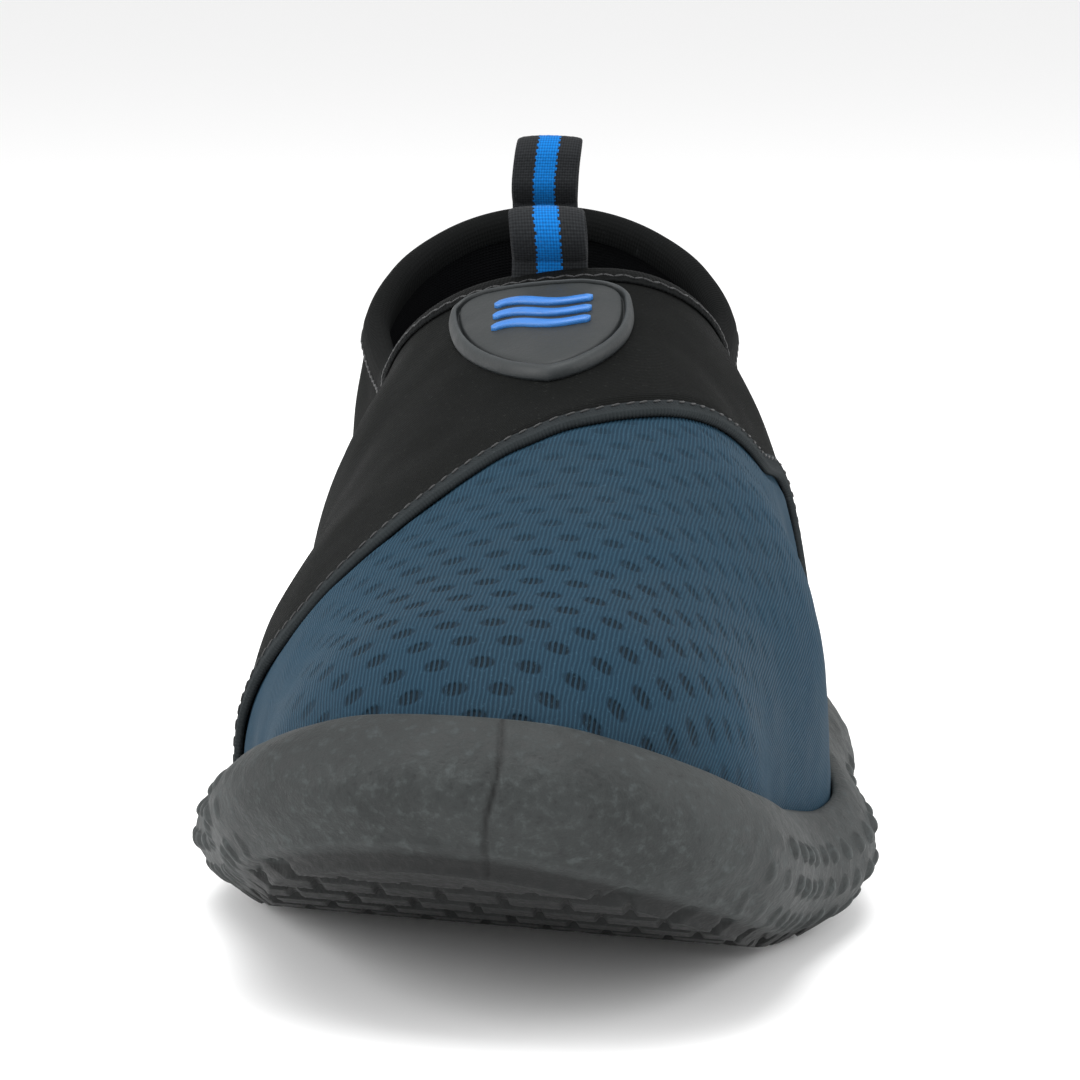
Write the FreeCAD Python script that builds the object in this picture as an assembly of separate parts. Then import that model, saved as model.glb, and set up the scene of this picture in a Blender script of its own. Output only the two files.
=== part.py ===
"""A slip-on neoprene water shoe for the right foot, in millimetres.

The toe points towards -Y, the inner (big toe) side is +X and the ground is z = 0.
The upper is one smooth foot form. Each layer is the space between two offsets of
that form, cut along the seam, the collar line and the feather line of the sole.
"""

import FreeCAD
import Part
import math
import os

Vector = FreeCAD.Vector

# ---- driving dimensions -----------------------------------------------------

# Plan of the foot form: discs (x, y, radius) joined by tangent sides.
TOE = (-1.0, -95.5, 36.0)
INNER_BALL = (12.5, -48.0, 33.5)
OUTER_BALL = (-12.5, -45.0, 33.5)
WAIST = (0.5, 4.0, 42.0)
ARCH = (-2.5, 52.0, 35.5)
HEEL = (-6.0, 94.5, 40.5)
PLAN_LINKS = (
    (TOE, INNER_BALL),
    (TOE, OUTER_BALL),
    (INNER_BALL, WAIST),
    (OUTER_BALL, WAIST),
    (WAIST, ARCH),
    (ARCH, HEEL),
)
PLAN_BLEND = 6.0
PLAN_TRIM = 1.0
ROOF_BLEND = 20.0
ROOF_SLOPE = 0.85

# Lines along the length: (y, value).
INSTEP_HEIGHT = (
    (-140, 36), (-132, 46), (-124, 52), (-110, 58.5), (-90, 64), (-60, 73),
    (-30, 82), (0, 91.5), (10, 95), (30, 103), (160, 160),
)
INSTEP_SIDE = ((-137, 2), (-90, 7), (-40, 11), (10, 6), (60, 0))
INSTEP_RADIUS = ((-137, 60), (-100, 52), (-60, 42), (-20, 36), (10, 36))
SIDE_LEAN = ((-60, 10.8), (0, 14), (40, 12.4), (90, 8.8), (137, 6.8))
LEAN_START = 22.0
LEAN_RISE = 70.0

# The sole's lines run across the shoe at a skew, further forward on the inner side.
SKEW = 0.26
RIM_SKEW = 0.18
SPRING_START = -45.0
SPRING_LENGTH = 85.0
TOE_SPRING = 25.8
SOLE_RIM = (
    (-150, 50), (-131, 49.2), (-126.5, 47.6), (-122.5, 44.6), (-115, 39.8), (-105, 34.6), (-85, 27.5),
    (-68, 22.8), (-55, 20), (-40, 20), (-20, 22), (30, 23), (90, 27), (137, 36), (160, 38),
)
SOLE_FLOOR = 5.0
WALL_BELLY = 6.8
WALL_AT_RIM = 2.4
WALL_AT_GROUND = -1.9
WALL_BELLY_AT = 0.55

# Collar line seen from the side: (y, height). It runs across at a slight skew.
COLLAR = (
    (-120, 190), (-20, 109), (0, 98.6), (8, 94.3), (20, 85.6), (35, 76), (60, 69.4), (95, 75.3),
    (115, 85.6), (126, 92), (150, 106),
)
COLLAR_SKEW = -0.07

# Seam between the mesh vamp and the neoprene quarters, seen from above: (x, y).
SEAM = (
    (-60, -36), (-50, -46), (-42, -58), (-33, -67), (-24, -67), (-14, -59), (-6, -52.5), (2, -47.8),
    (11, -44.5), (20, -39.5), (28, -30), (34, -18), (37.5, -3), (42, 8), (50, 19), (60, 30),
)

# Thicknesses.
MESH = 1.2
NEOPRENE = 3.1
TAPE = 0.8
BOARD = 1.4
FOOTBED = 4.5
GAP = 0.1
BINDING_WIDTH = 3.4
TAPE_WIDTH = 3.2

# Webbing pull tabs.
WEBBING_WIDTH = 12.6
WEBBING = 1.2
FRONT_TAB = (-1.0, 9.3, 96.6)
REAR_TAB = (-8.6, 125.2, 95.2)
FRONT_TAB_HEIGHT = 8.8
REAR_TAB_HEIGHT = 12.8
TAB_GAP = 6.0
TAB_SHOULDER = 0.7  # share of the gap reached a little above the root

# Rubber badge on the instep.
BADGE_CENTRE = (-1.6, -4.5, 90.0)
BADGE_TILT = 20.0
BADGE_HALF_WIDTH = 15.3
BADGE_TOP = 7.0
BADGE_BOTTOM = -28.0
BADGE_SHEAR = (-0.11, -0.18)

FAR = 90.0


# ---- curves and the foot form ------------------------------------------------


def along(line, t):
    """Smooth value of a line of (position, value) points at position t."""
    if t <= line[0][0]:
        return line[0][1]
    if t >= line[-1][0]:
        return line[-1][1]
    i = 0
    while t > line[i + 1][0]:
        i += 1
    before = line[max(i - 1, 0)]
    a, b = line[i], line[i + 1]
    after = line[min(i + 2, len(line) - 1)]
    span = b[0] - a[0]
    slope_a = (b[1] - before[1]) / (b[0] - before[0]) * span
    slope_b = (after[1] - a[1]) / (after[0] - a[0]) * span
    u = (t - a[0]) / span
    rise = 3 * u * u - 2 * u**3
    start = u**3 - 2 * u * u + u
    end = u**3 - u * u
    return a[1] * (1 - rise) + b[1] * rise + slope_a * start + slope_b * end


def soft_min(a, b, blend):
    h = min(max(0.5 + 0.5 * (b - a) / blend, 0.0), 1.0)
    return b * (1 - h) + a * h - blend * h * (1 - h)


def soft_max(a, b, blend):
    return -soft_min(-a, -b, blend)


def tapered_bar(x, y, start, end):
    """Signed distance in plan to two discs joined by their tangents."""
    ax, ay, ra = start
    bx, by, rb = end
    dx, dy = bx - ax, by - ay
    length = math.hypot(dx, dy)
    lean = (rb - ra) / length
    lean /= math.sqrt(1 - lean * lean)
    u = ((x - ax) * dx + (y - ay) * dy) / length
    v = abs((x - ax) * dy - (y - ay) * dx) / length
    t = min(max((u + v * lean) / length, 0.0), 1.0)
    return math.hypot(x - ax - dx * t, y - ay - dy * t) - (ra + (rb - ra) * t)


def plan_distance(x, y):
    distance = tapered_bar(x, y, *PLAN_LINKS[0])
    for link in PLAN_LINKS[1:]:
        distance = soft_min(distance, tapered_bar(x, y, *link), PLAN_BLEND)
    return distance + PLAN_TRIM


def spring(s):
    """Height of the ground face at skewed position s: flat, then up to the toe."""
    t = max((SPRING_START - s) / SPRING_LENGTH, 0.0)
    return TOE_SPRING * t**1.7


def form_distance(x, y, z):
    """Roughly the distance outside the foot form, negative inside."""
    height = z - spring(y + SKEW * x)
    rise = max(height - LEAN_START, 0.0) / LEAN_RISE
    side = plan_distance(x, y) + along(SIDE_LEAN, y) * rise**1.6
    across = x - along(INSTEP_SIDE, y)
    radius = along(INSTEP_RADIUS, y) * (1.15 if across < 0 else 0.95)
    drop = radius * (math.sqrt(1 + (across / radius) ** 2) - 1)
    top = (z - along(INSTEP_HEIGHT, y) + drop) * ROOF_SLOPE
    return soft_max(side, top, ROOF_BLEND)


def sole_wall(x, y, z):
    """How far the sole's wall stands out from the foot form."""
    foot = spring(y + SKEW * x)
    t = (z - foot) / (along(SOLE_RIM, y + RIM_SKEW * x) - foot)
    if t < WALL_BELLY_AT:
        fall = ((WALL_BELLY_AT - t) / WALL_BELLY_AT) ** 2
        return WALL_BELLY - (WALL_BELLY - WALL_AT_GROUND) * min(fall, 1.2)
    fall = ((t - WALL_BELLY_AT) / (1 - WALL_BELLY_AT)) ** 2
    return WALL_BELLY - (WALL_BELLY - WALL_AT_RIM) * min(fall, 1.2)


def outline(inside, z, front, back, count):
    """Closed smooth wire at height z where inside(x, y, z) is zero."""
    middle = (front + back) / 2
    reach = (back - front) / 2 + 12
    points = []
    for i in range(count):
        angle = 2 * math.pi * i / count
        dx, dy = 62 * math.cos(angle), reach * math.sin(angle)
        low, high = 0.0, 1.6
        for _ in range(36):
            t = (low + high) / 2
            if inside(dx * t, middle + dy * t, z) < 0:
                low = t
            else:
                high = t
        points.append(Vector(dx * low, middle + dy * low, z))
    curve = Part.BSplineCurve()
    curve.interpolate(Points=points, PeriodicFlag=True)
    return Part.Wire([curve.toShape()])


def front_of(inside, z):
    """The y where the form begins at height z, just off its middle line."""
    low, high = -160.0, 60.0
    for _ in range(36):
        y = (low + high) / 2
        if inside(along(INSTEP_SIDE, y), y, z) < 0:
            high = y
        else:
            low = y
    return high


def loft(inside, heights, count):
    wires = []
    for z in heights:
        wires.append(outline(inside, z, front_of(inside, z), 132.0, count))
    return Part.makeLoft(wires, True, False)


FORM_HEIGHTS = (0, 12, 24, 34, 43, 51, 59, 67, 75, 83, 91, 99, 107)


def form(offset, count=40):
    """The foot form grown outwards by offset."""
    return loft(lambda x, y, z: form_distance(x, y, z) - offset, FORM_HEIGHTS, count)


# ---- cutting solids ------------------------------------------------------------


def smooth_edge(points):
    curve = Part.BSplineCurve()
    curve.interpolate(points)
    return curve.toShape()


def side_prism(height_at, low, high, start=-175.0, end=175.0, step=10.0, skew=0.0):
    """Everything between two offsets of a side-view line, right across the shoe.

    The line is height_at(y), and low and high are heights above it.
    """
    count = int(round((end - start) / step))
    below, above = [], []
    for i in range(count + 1):
        y = start + step * i
        below.append(Vector(-FAR, y + skew * FAR, height_at(y) + low))
        above.append(Vector(-FAR, y + skew * FAR, height_at(y) + high))
    edges = [
        smooth_edge(below),
        Part.makeLine(below[-1], above[-1]),
        smooth_edge(above[::-1]),
        Part.makeLine(above[0], below[0]),
    ]
    face = Part.Face(Part.Wire(edges))
    return face.extrude(Vector(2 * FAR, -2 * FAR * skew, 0))


def ground_line(height, back_to_front):
    """The ground face's side view at x = -FAR: a flat stretch and the toe spring."""
    shift = SKEW * FAR
    flat = Vector(-FAR, 175.0, height)
    bend = Vector(-FAR, SPRING_START + shift, height)
    rising = [bend]
    for i in range(1, 13):
        s = SPRING_START - 10.0 * i
        rising.append(Vector(-FAR, s + shift, height + spring(s)))
    if back_to_front:
        return [Part.makeLine(flat, bend), smooth_edge(rising)]
    return [smooth_edge(rising[::-1]), Part.makeLine(bend, flat)]


def above_sole(low, high):
    """The slab between two heights over the sprung ground face."""
    below = ground_line(low, True)
    above = ground_line(high, False)
    front = Part.makeLine(below[1].Vertexes[-1].Point, above[0].Vertexes[0].Point)
    back = Part.makeLine(above[1].Vertexes[-1].Point, below[0].Vertexes[0].Point)
    face = Part.Face(Part.Wire(below + [front] + above + [back]))
    return face.extrude(Vector(2 * FAR, -2 * FAR * SKEW, 0))


def seam_y(x):
    return along(SEAM, x)


def seam_point(x, shift):
    """Point in plan beside the seam, at distance shift behind it."""
    slope = seam_y(x + 0.5) - seam_y(x - 0.5)
    length = math.hypot(slope, 1.0)
    return x - shift * slope / length, seam_y(x) + shift / length


def seam_prism(near, far):
    """The band behind the vamp seam, from near to far measured square to the seam."""
    places = [x for x, y in SEAM]
    first = [Vector(*seam_point(x, near), -5) for x in places]
    last = [Vector(*seam_point(x, far), -5) for x in places]
    if near < -FAR:
        first = [Vector(x, near, -5) for x in places]
    if far > FAR:
        last = [Vector(x, far, -5) for x in places]
    edges = [
        smooth_edge(first),
        Part.makeLine(first[-1], last[-1]),
        smooth_edge(last[::-1]),
        Part.makeLine(last[0], first[0]),
    ]
    return Part.Face(Part.Wire(edges)).extrude(Vector(0, 0, 130))


def collar_height(y):
    return along(COLLAR, y)


def band_at_collar(low, high):
    return side_prism(collar_height, low, high, start=-120.0, end=150.0, step=9.0, skew=COLLAR_SKEW)


def below_collar(drop):
    return band_at_collar(-140.0, -drop)


# ---- pieces ----------------------------------------------------------------------

SOLE_HEIGHTS = (-3, 3, 8, 13, 18, 24, 30, 36, 42, 48, 54)
GROOVE = 2.0
GROOVE_DEPTH = 1.8
GROOVE_PITCH = 9.0
NUB_RADIUS = 1.5
NUB_REACH = 0.9
STITCH_RADIUS = 0.22
STITCH_CLEARANCE = 0.5
STITCH_COUNT = 34
STITCH_INSET = 1.4
BADGE_POINTS = 18
WAVE_HALF_LENGTH = 8.2
WAVE_SWING = 0.9
WAVE_WIDTH = 1.5
WAVES_AT = (-0.9, -4.9, -8.9)


def sole_distance(x, y, z):
    return form_distance(x, y, z) - sole_wall(x, y, z)


def tread_grooves():
    """Cross grooves in the ground face, following the toe spring."""
    grooves = []
    s = -122.0
    while s < 125.0:
        slope = (spring(s - 1) - spring(s + 1)) / 2
        groove = Part.makeBox(2 * FAR, GROOVE, 2 * GROOVE_DEPTH, Vector(0, -GROOVE / 2, -GROOVE_DEPTH))
        groove.rotate(Vector(0, 0, 0), Vector(1, 0, 0), -math.degrees(math.atan(slope)))
        groove.rotate(Vector(0, 0, 0), Vector(0, 0, 1), -math.degrees(math.atan(SKEW)))
        groove.translate(Vector(-FAR, s + SKEW * FAR, spring(s)))
        grooves.append(groove)
        s += GROOVE_PITCH
    return grooves


def side_nubs():
    """Small round nubs in staggered rows low on both sides of the forefoot."""
    nubs = []
    for side in (-1, 1):
        for row in range(3):
            for column in range(8):
                y = -84 + 9.0 * column + 4.5 * (row % 2)
                z = spring(y + SKEW * side * 45) + 5.0 + 4.5 * row
                low, high = 0.0, 80.0
                for _ in range(30):
                    reach = (low + high) / 2
                    if sole_distance(side * reach, y, z) < 0:
                        low = reach
                    else:
                        high = reach
                start = Vector(side * (low - 2.0), y, z)
                nubs.append(Part.makeCylinder(NUB_RADIUS, 2.0 + NUB_REACH, start, Vector(side, 0, 0)))
    return nubs


def outsole(bedding):
    wall = loft(sole_distance, SOLE_HEIGHTS, 44)
    cup = wall.common(above_sole(0.0, 90.0))
    cup = cup.common(side_prism(lambda s: along(SOLE_RIM, s), -80.0, 0.0, skew=RIM_SKEW))
    cup = cup.cut(bedding)
    cup = cup.fuse(side_nubs()).removeSplitter()
    return cup.cut(tread_grooves())


def ring_of(shape):
    """The largest solid of a shape, without slivers."""
    return max(shape.Solids, key=lambda solid: abs(solid.Volume))


def webbing_loop(foot, height):
    """A folded strap: a round sewn root and a rounded loop above it."""
    x, y, z = foot
    half = TAB_GAP / 2
    rise = height - WEBBING - half
    left = x - WEBBING_WIDTH / 2

    def drop(grow, root, shoulder):
        radius = half + grow
        side = [(grow * 0.8, root), (half * TAB_SHOULDER + grow * 0.95, shoulder), (radius, rise)]
        down = [Vector(left, y - across, z + up) for across, up in side]
        back = [Vector(left, y + across, z + up) for across, up in reversed(side)]
        top = Vector(left, y, z + rise + radius)
        edges = [Part.makeLine(a, b) for a, b in zip(down, down[1:])]
        edges.append(Part.Arc(down[-1], top, back[0]).toShape())
        edges += [Part.makeLine(a, b) for a, b in zip(back, back[1:])]
        edges.append(Part.makeLine(back[-1], down[0]))
        return Part.Face(Part.Wire(edges)).extrude(Vector(WEBBING_WIDTH, 0, 0))

    root = Part.makeCylinder(WEBBING * 0.9, WEBBING_WIDTH, Vector(left, y, z), Vector(1, 0, 0))
    inner = drop(0.12, 1.3, 2.7)
    return drop(WEBBING, 0.0, 1.9).fuse(root).cut(inner).removeSplitter()


def badge_outline(scale):
    """A sheared shield: nearly straight on top and round below."""
    points = []
    for i in range(BADGE_POINTS):
        turn = 2 * math.pi * i / BADGE_POINTS
        c, sine = math.cos(turn), math.sin(turn)
        power, height = (0.62, BADGE_TOP) if sine > 0 else (1.25, -BADGE_BOTTOM)
        u = math.copysign(abs(c) ** power, c) * BADGE_HALF_WIDTH * scale
        v = math.copysign(abs(sine) ** 0.9, sine) * height * scale
        points.append(Vector(u + BADGE_SHEAR[0] * v, v + BADGE_SHEAR[1] * u, 0))
    curve = Part.BSplineCurve()
    curve.interpolate(Points=points, PeriodicFlag=True)
    return Part.Wire([curve.toShape()])


def badge_prism(wire):
    """The wire, drawn flat about the badge's centre, swept through the instep."""
    prism = Part.Face(wire).extrude(Vector(0, 0, 40))
    prism.translate(Vector(0, 0, -20))
    prism.rotate(Vector(0, 0, 0), Vector(1, 0, 0), BADGE_TILT)
    prism.translate(Vector(*BADGE_CENTRE))
    return prism


def wave_bar(y):
    """One stroke of the wave mark: a gentle S of even width, sheared like the badge."""
    lower = []
    for i in range(5):
        x = WAVE_HALF_LENGTH * (i / 2 - 1)
        swing = WAVE_SWING * math.sin(math.pi * i / 2 + 0.6)
        lower.append(Vector(x, y + swing + BADGE_SHEAR[1] * x, 0))
    upper = [point + Vector(0, WAVE_WIDTH, 0) for point in lower]
    return Part.Wire([
        smooth_edge(lower),
        Part.makeLine(lower[-1], upper[-1]),
        smooth_edge(upper[::-1]),
        Part.makeLine(upper[0], lower[0]),
    ])


def stitch_row(points, length, radius):
    """Short rounded threads laid along pairs of points, as one group of solids."""
    threads = []
    for start, end in points:
        direction = (end - start).normalize()
        threads.append(Part.makeCylinder(radius, length, start, direction))
    return Part.makeCompound(threads)


def on_form(x, y, offset):
    """Point on the grown form straight above (x, y)."""
    low, high = 10.0, 140.0
    for _ in range(40):
        z = (low + high) / 2
        if form_distance(x, y, z) - offset < 0:
            low = z
        else:
            high = z
    return Vector(x, y, low)


def seam_stitches():
    """Threads over the seam tape, clear of it."""
    pairs = []
    height = GAP + TAPE + STITCH_RADIUS + STITCH_CLEARANCE
    for i in range(STITCH_COUNT):
        x = -36.0 + 68.0 * i / (STITCH_COUNT - 1)
        start = on_form(*seam_point(x, TAPE_WIDTH - STITCH_INSET), height)
        end = on_form(*seam_point(x + 1.0, TAPE_WIDTH - STITCH_INSET), height)
        pairs.append((start, end))
    return stitch_row(pairs, 1.3, STITCH_RADIUS)


def heel_band(half_width, low, high):
    return Part.makeBox(2 * half_width, 60, high - low, Vector(HEEL[0] - half_width, 100, low))


def badge():
    """A base plate with a raised rim and a groove inside it, stepped over the binding."""
    outer = badge_prism(badge_outline(1.0))
    inner = badge_prism(badge_outline(0.88))
    base = form(2.0).cut(form(0.25)).common(outer)
    rim = form(2.8).cut(form(1.5)).common(outer).cut(inner)
    groove = form(2.4).cut(form(1.4)).common(inner).cut(badge_prism(badge_outline(0.83)))
    step = form(GAP + TAPE + 0.2).common(band_at_collar(-BINDING_WIDTH - 0.4, 20.0))
    return base.fuse(rim).cut(groove).cut(step)


def badge_mark():
    """Three wave strokes standing on the badge's plate."""
    layer = form(2.7).cut(form(2.05))
    strokes = [ring_of(layer.common(badge_prism(wave_bar(y)))) for y in WAVES_AT]
    return Part.makeCompound(strokes)


def write(name, shape):
    shape.exportStep("parts/" + name + ".step")
    print(name, shape.isValid(), len(shape.Solids), round(shape.Volume))


def main():
    os.makedirs("parts", exist_ok=True)
    surface = form(0.0)
    lining_face = form(-NEOPRENE)
    upper_slab = above_sole(SOLE_FLOOR + GAP, 150)
    below = below_collar(0.0)

    # The sole's bedding is the foot form grown by a bonding gap, over the sole's floor.
    bedding = form(GAP).common(above_sole(SOLE_FLOOR, 150))
    write("outsole", outsole(bedding))

    wall = surface.cut(lining_face).common(upper_slab)
    behind = seam_prism(GAP / 2, 200.0)
    ahead = seam_prism(-200.0, -GAP / 2)
    heel_slit = Part.makeBox(0.2, 60, 160, Vector(HEEL[0] - 0.1, 100, -5))
    quarters = wall.common(behind).common(below).cut(heel_slit)
    write("neoprene_quarters", ring_of(quarters))

    mesh_back = form(-MESH)
    mesh = surface.cut(mesh_back).common(upper_slab).common(ahead)
    write("vamp_mesh", ring_of(mesh))
    backing = form(-MESH - GAP).cut(lining_face).common(upper_slab).common(ahead)
    write("vamp_backing", ring_of(backing))

    inside = form(-NEOPRENE - 0.2)
    board = inside.common(above_sole(SOLE_FLOOR + GAP, SOLE_FLOOR + GAP + BOARD))
    write("insole_board", ring_of(board))
    foot = SOLE_FLOOR + 2 * GAP + BOARD
    write("footbed", ring_of(inside.common(above_sole(foot, foot + FOOTBED))))

    tape_shell = form(GAP + TAPE).cut(form(GAP))
    seam_tape = tape_shell.common(seam_prism(-0.4, TAPE_WIDTH - 0.4))
    over_rim = side_prism(lambda s: along(SOLE_RIM, s), 0.3, 150.0, skew=RIM_SKEW)
    write("vamp_seam_tape", ring_of(seam_tape.common(over_rim)))
    write("vamp_seam_stitches", seam_stitches())

    binding_outer = form(GAP + TAPE).cut(form(-NEOPRENE - GAP - TAPE))
    binding = binding_outer.common(band_at_collar(-BINDING_WIDTH, TAPE))
    channel = form(GAP).cut(form(-NEOPRENE - GAP)).common(band_at_collar(-140.0, GAP))
    write("collar_binding", ring_of(binding.cut(channel)))

    heel_tape = tape_shell.common(heel_band(6.0, 38.0, 89.0)).common(below_collar(BINDING_WIDTH + 0.3))
    write("heel_seam_tape", ring_of(heel_tape))

    write("badge", ring_of(badge()))
    write("badge_mark", badge_mark())

    write("front_pull_tab", webbing_loop(FRONT_TAB, FRONT_TAB_HEIGHT))
    write("rear_pull_tab", webbing_loop(REAR_TAB, REAR_TAB_HEIGHT))


main()
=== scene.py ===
import math

import bmesh
import bpy
import numpy as np
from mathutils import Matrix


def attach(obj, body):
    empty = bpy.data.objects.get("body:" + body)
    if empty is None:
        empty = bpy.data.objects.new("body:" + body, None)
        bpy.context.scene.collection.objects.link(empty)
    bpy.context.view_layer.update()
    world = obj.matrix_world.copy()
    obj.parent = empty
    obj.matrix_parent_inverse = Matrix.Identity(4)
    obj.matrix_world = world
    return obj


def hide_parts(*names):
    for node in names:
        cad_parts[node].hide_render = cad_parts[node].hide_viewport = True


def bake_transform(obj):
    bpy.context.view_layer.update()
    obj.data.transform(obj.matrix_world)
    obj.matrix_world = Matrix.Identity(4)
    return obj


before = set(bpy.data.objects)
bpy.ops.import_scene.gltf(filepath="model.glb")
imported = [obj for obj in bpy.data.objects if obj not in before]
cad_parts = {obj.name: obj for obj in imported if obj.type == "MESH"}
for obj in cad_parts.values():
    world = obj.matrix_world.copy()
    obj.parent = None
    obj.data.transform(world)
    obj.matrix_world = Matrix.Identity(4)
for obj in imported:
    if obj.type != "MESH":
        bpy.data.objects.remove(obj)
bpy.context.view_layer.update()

# Lengths below are in millimetres. Meshes are built in metres.
MM = 0.001

# ---- the shoe's driving dimensions, as in the CAD ----

TOE = (-1.0, -95.5, 36.0)
INNER_BALL = (12.5, -48.0, 33.5)
OUTER_BALL = (-12.5, -45.0, 33.5)
WAIST = (0.5, 4.0, 42.0)
ARCH = (-2.5, 52.0, 35.5)
HEEL = (-6.0, 94.5, 40.5)
PLAN_LINKS = (
    (TOE, INNER_BALL), (TOE, OUTER_BALL), (INNER_BALL, WAIST), (OUTER_BALL, WAIST), (WAIST, ARCH),
    (ARCH, HEEL),
)
PLAN_BLEND = 6.0
PLAN_TRIM = 1.0
ROOF_BLEND = 20.0
ROOF_SLOPE = 0.85
INSTEP_HEIGHT = (
    (-140, 36), (-132, 46), (-124, 52), (-110, 58.5), (-90, 64), (-60, 73),
    (-30, 82), (0, 91.5), (10, 95), (30, 103), (160, 160),
)
INSTEP_SIDE = ((-137, 2), (-90, 7), (-40, 11), (10, 6), (60, 0))
INSTEP_RADIUS = ((-137, 60), (-100, 52), (-60, 42), (-20, 36), (10, 36))
SIDE_LEAN = ((-60, 10.8), (0, 14), (40, 12.4), (90, 8.8), (137, 6.8))
LEAN_START = 22.0
LEAN_RISE = 70.0
SKEW = 0.26
RIM_SKEW = 0.18
SPRING_START = -45.0
SPRING_LENGTH = 85.0
TOE_SPRING = 25.8
SOLE_RIM = (
    (-150, 50), (-131, 49.2), (-126.5, 47.6), (-122.5, 44.6), (-115, 39.8), (-105, 34.6), (-85, 27.5),
    (-68, 22.8), (-55, 20), (-40, 20), (-20, 22), (30, 23), (90, 27), (137, 36), (160, 38),
)
SOLE_FLOOR = 5.0
WALL_BELLY = 6.8
WALL_AT_RIM = 2.4
WALL_AT_GROUND = -1.9
WALL_BELLY_AT = 0.55
COLLAR = (
    (-120, 190), (-20, 109), (0, 98.6), (8, 94.3), (20, 85.6), (35, 76), (60, 69.4), (95, 75.3),
    (115, 85.6), (126, 92), (150, 106),
)
COLLAR_SKEW = -0.07
SEAM = (
    (-60, -36), (-50, -46), (-42, -58), (-33, -67), (-24, -67), (-14, -59), (-6, -52.5), (2, -47.8),
    (11, -44.5), (20, -39.5), (28, -30), (34, -18), (37.5, -3), (42, 8), (50, 19), (60, 30),
)
MESH = 1.2
NEOPRENE = 3.1
GAP = 0.1
BOARD = 1.4
FOOTBED = 4.5
WEBBING = 1.2
GROOVE = 2.0
GROOVE_DEPTH = 1.8
GROOVE_PITCH = 9.0
GROOVE_START = -122.0
BADGE_CENTRE = np.array((-1.6, -4.5, 90.0))
BADGE_TILT = math.radians(20.0)
BADGE_HALF_WIDTH = 15.3
BADGE_TOP = 7.0
BADGE_BOTTOM = -27.0
BADGE_SHEAR = (-0.11, -0.18)
BADGE_CORNER_LIFT = 2.6
FRONT_TAB = np.array((-1.0, 9.3, 96.6))
REAR_TAB = np.array((-8.6, 125.2, 95.2))
FRONT_TAB_HEIGHT = 8.8
REAR_TAB_HEIGHT = 12.8
WEBBING_WIDTH = 12.6
TAB_GAP = 6.0

# Grid densities.
SEAM_COLUMNS = 300
SIDE_COLUMNS = 210
VAMP_ROWS = 250
QUARTER_ROWS = 120
SOLE_COLUMNS = 1240
COLLAR_POINTS = 1100
TAPE_POINTS = 700


# ---- curves and the foot form ----


def along(line, t):
    """Smooth value of a line of (position, value) points at positions t."""
    points = np.array(line, float)
    place, value = points[:, 0], points[:, 1]
    t = np.clip(np.asarray(t, float), place[0], place[-1])
    i = np.clip(np.searchsorted(place, t, side="left") - 1, 0, len(line) - 2)
    before = np.maximum(i - 1, 0)
    after = np.minimum(i + 2, len(line) - 1)
    span = place[i + 1] - place[i]
    slope_a = (value[i + 1] - value[before]) / (place[i + 1] - place[before]) * span
    slope_b = (value[after] - value[i]) / (place[after] - place[i]) * span
    u = (t - place[i]) / span
    rise = 3 * u**2 - 2 * u**3
    hermite = slope_a * (u**3 - 2 * u**2 + u) + slope_b * (u**3 - u**2)
    return value[i] * (1 - rise) + value[i + 1] * rise + hermite


def soft_min(a, b, blend):
    h = np.clip(0.5 + 0.5 * (b - a) / blend, 0, 1)
    return b * (1 - h) + a * h - blend * h * (1 - h)


def soft_max(a, b, blend):
    return -soft_min(-a, -b, blend)


def smooth_step(low, high, value):
    t = np.clip((value - low) / (high - low), 0, 1)
    return t * t * (3 - 2 * t)


def unit(v):
    return v / np.linalg.norm(v, axis=-1, keepdims=True)


def tapered_bar(x, y, start, end):
    """Signed distance in plan to two discs joined by their tangents."""
    ax, ay, ra = start
    bx, by, rb = end
    dx, dy = bx - ax, by - ay
    length = math.hypot(dx, dy)
    lean = (rb - ra) / length
    lean /= math.sqrt(1 - lean * lean)
    u = ((x - ax) * dx + (y - ay) * dy) / length
    v = np.abs((x - ax) * dy - (y - ay) * dx) / length
    t = np.clip((u + v * lean) / length, 0, 1)
    return np.hypot(x - ax - dx * t, y - ay - dy * t) - (ra + (rb - ra) * t)


def plan_distance(x, y):
    distance = tapered_bar(x, y, *PLAN_LINKS[0])
    for link in PLAN_LINKS[1:]:
        distance = soft_min(distance, tapered_bar(x, y, *link), PLAN_BLEND)
    return distance + PLAN_TRIM


def ground(p):
    """Height of the ground face at points p: flat, then up to the toe."""
    s = p[..., 1] + SKEW * p[..., 0]
    return TOE_SPRING * np.maximum((SPRING_START - s) / SPRING_LENGTH, 0) ** 1.7


def form_distance(p):
    """Roughly the distance of points p outside the foot form, negative inside."""
    x, y, z = p[..., 0], p[..., 1], p[..., 2]
    rise = np.maximum(z - ground(p) - LEAN_START, 0) / LEAN_RISE
    side = plan_distance(x, y) + along(SIDE_LEAN, y) * rise**1.6
    across = x - along(INSTEP_SIDE, y)
    radius = along(INSTEP_RADIUS, y) * np.where(across < 0, 1.15, 0.95)
    drop = radius * (np.sqrt(1 + (across / radius) ** 2) - 1)
    top = (z - along(INSTEP_HEIGHT, y) + drop) * ROOF_SLOPE
    return soft_max(side, top, ROOF_BLEND)


def form_normal(p):
    """Outward unit normals of the form at points p."""
    step = 0.2
    slopes = [form_distance(p + axis * step) - form_distance(p - axis * step) for axis in np.eye(3)]
    return unit(np.stack(slopes, -1))


REACH = 110.0  # how far a ray is followed
HALVINGS = 30


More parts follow.
